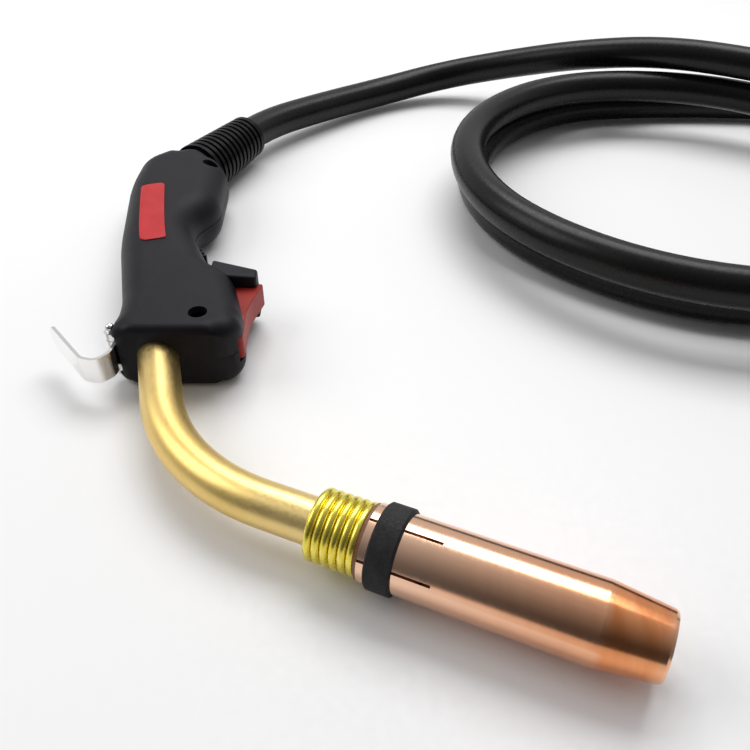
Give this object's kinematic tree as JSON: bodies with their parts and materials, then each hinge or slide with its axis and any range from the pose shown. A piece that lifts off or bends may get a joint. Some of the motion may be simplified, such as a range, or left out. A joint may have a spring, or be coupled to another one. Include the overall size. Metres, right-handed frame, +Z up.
{
  "type": "mig welding torch",
  "caption": "Hand-held welding torch: swan neck with gas nozzle, two-shell handle with hinged trigger and hook, ribbed cable boot, cable and central plug.",
  "frame": {"origin": "on the flat underside of the handle's lower shell as the torch lies on its side, 30 mm behind the point where the neck's axis leaves the handle", "axes": "+Z up, out of the side that it lies on; +Y from the neck towards the rear of the handle; +X towards the trigger side"},
  "size_m": [0.6016, 0.522, 0.066],
  "materials": {
    "handle_plastic": "charcoal glass-filled plastic with a fine texture",
    "trigger_plastic": "brick red plastic",
    "boot_rubber": "glossy black moulded rubber",
    "cable_rubber": "satin black cable sheath",
    "ring_rubber": "matte black rubber",
    "neck_brass": "satin gold-coloured brass",
    "collar_brass": "bright yellow brass",
    "nozzle_copper": "polished copper",
    "tip_copper": "plain copper",
    "inner_brass": "turned brass",
    "insulation": "brown phenolic and insulating sleeve",
    "ceramic": "off-white ceramic",
    "bright_steel": "bright stainless strip",
    "screw_steel": "blackened steel",
    "liner_steel": "wound steel wire",
    "switch_plastic": "black switch case",
    "button_plastic": "pale switch plunger",
    "lead_plastic": "blue wire insulation",
    "plug_plastic": "black plug moulding"
  },
  "bodies": {
    "handle": {"cable_boot": "boot_rubber", "cable_crimp": "tip_copper", "cable_lead": "cable_rubber", "connector_block": "inner_brass", "contact_tip": "tip_copper", "control_leads": "lead_plastic", "control_pins": "inner_brass", "gas_diffuser": "ceramic", "gas_nipple": "inner_brass", "handle_lower": "handle_plastic", "handle_screws": "screw_steel", "handle_upper": "handle_plastic", "hook_bracket": "bright_steel", "hook_pin": "bright_steel", "neck_collar": "collar_brass", "neck_core": "tip_copper", "neck_insulation": "insulation", "neck_nut": "inner_brass", "neck_tube": "neck_brass", "nipple_seal": "ring_rubber", "nozzle_insulator": "insulation", "plug_body": "inner_brass", "plug_boot": "boot_rubber", "plug_face": "plug_plastic", "plug_screws": "screw_steel", "plug_shell_lower": "plug_plastic", "plug_shell_upper": "plug_plastic", "switch_body": "switch_plastic", "switch_terminals": "inner_brass", "tip_adaptor": "inner_brass", "torch_cable": "cable_rubber", "trigger_pin": "bright_steel", "wire_liner": "liner_steel"},
    "trigger": {"trigger": "trigger_plastic"},
    "button": {"switch_button": "button_plastic"},
    "hook": {"hook": "bright_steel"},
    "nozzle": {"gas_nozzle": "nozzle_copper", "nozzle_ring": "ring_rubber"},
    "coupling": {"coupling_nut": "plug_plastic"}
  },
  "joints": [
    {"name": "trigger_hinge", "type": "hinge", "parent": "handle", "child": "trigger", "pos_m": [0.0324, -0.0175, 0.017], "axis": [0, 0, 1], "range_deg": [0, 6], "stiffness_Nm_per_rad": 0.6, "springref_deg": -6.88},
    {"name": "button_slide", "type": "slide", "parent": "handle", "child": "button", "axis": [-1, 0, 0], "range_m": [0, 0.0032]},
    {"name": "hook_hinge", "type": "hinge", "parent": "handle", "child": "hook", "pos_m": [-0.0212, -0.022, 0.017], "axis": [0, 0, 1], "range_deg": [-45, 4]},
    {"name": "nozzle_slide", "type": "slide", "parent": "handle", "child": "nozzle", "axis": [0.9171, -0.3987, 0], "range_m": [0, 0.11]},
    {"name": "coupling_turn", "type": "hinge", "parent": "handle", "child": "coupling", "pos_m": [0.521, -0.065, 0.0275], "axis": [0, -1, 0], "continuous": true}
  ],
  "couplings": [
    {"joint": "button_slide", "follows": "trigger_hinge", "m_per_rad": 0.0305}
  ]
}
